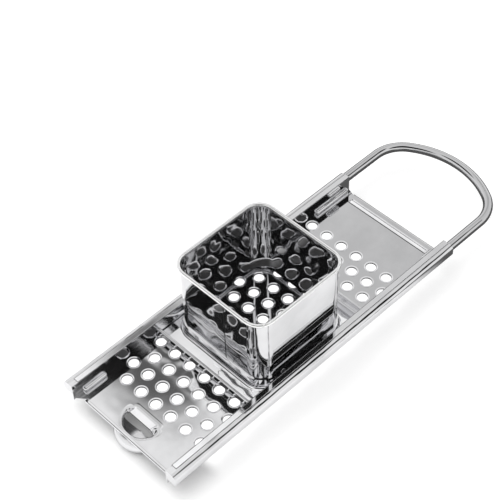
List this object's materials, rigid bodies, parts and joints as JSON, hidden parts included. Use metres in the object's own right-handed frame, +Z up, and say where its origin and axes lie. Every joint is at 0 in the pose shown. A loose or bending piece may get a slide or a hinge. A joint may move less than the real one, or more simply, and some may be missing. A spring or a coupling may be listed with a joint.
{
  "type": "spaetzle maker",
  "caption": "Stainless steel spaetzle maker: a perforated plate with tubular side rails, a bent bar handle, a pot hook and a bottomless square hopper that slides along the plate.",
  "frame": {"origin": "centre of the bounding box in X and Y, at the lowest point of the pot hook", "axes": "+X along the plate towards the handle, +Y across the plate, +Z up out of the hopper"},
  "size_m": [0.3316, 0.1062, 0.0791],
  "materials": {
    "mirror_steel": "polished",
    "bar_steel": "polished",
    "weld_steel": "satin"
  },
  "bodies": {
    "base": {"perforated_plate": "mirror_steel", "left_rail": "mirror_steel", "right_rail": "mirror_steel", "pot_hook": "mirror_steel", "handle": "bar_steel"},
    "slider": {"hopper_shell": "mirror_steel", "carriage_plate": "mirror_steel", "rear_lip": "mirror_steel", "front_lip": "mirror_steel", "spot_welds": "weld_steel"}
  },
  "joints": [
    {"name": "hopper_slide", "type": "slide", "parent": "base", "child": "slider", "axis": [1, 0, 0], "range_m": [-0.0444, 0.0451]}
  ]
}
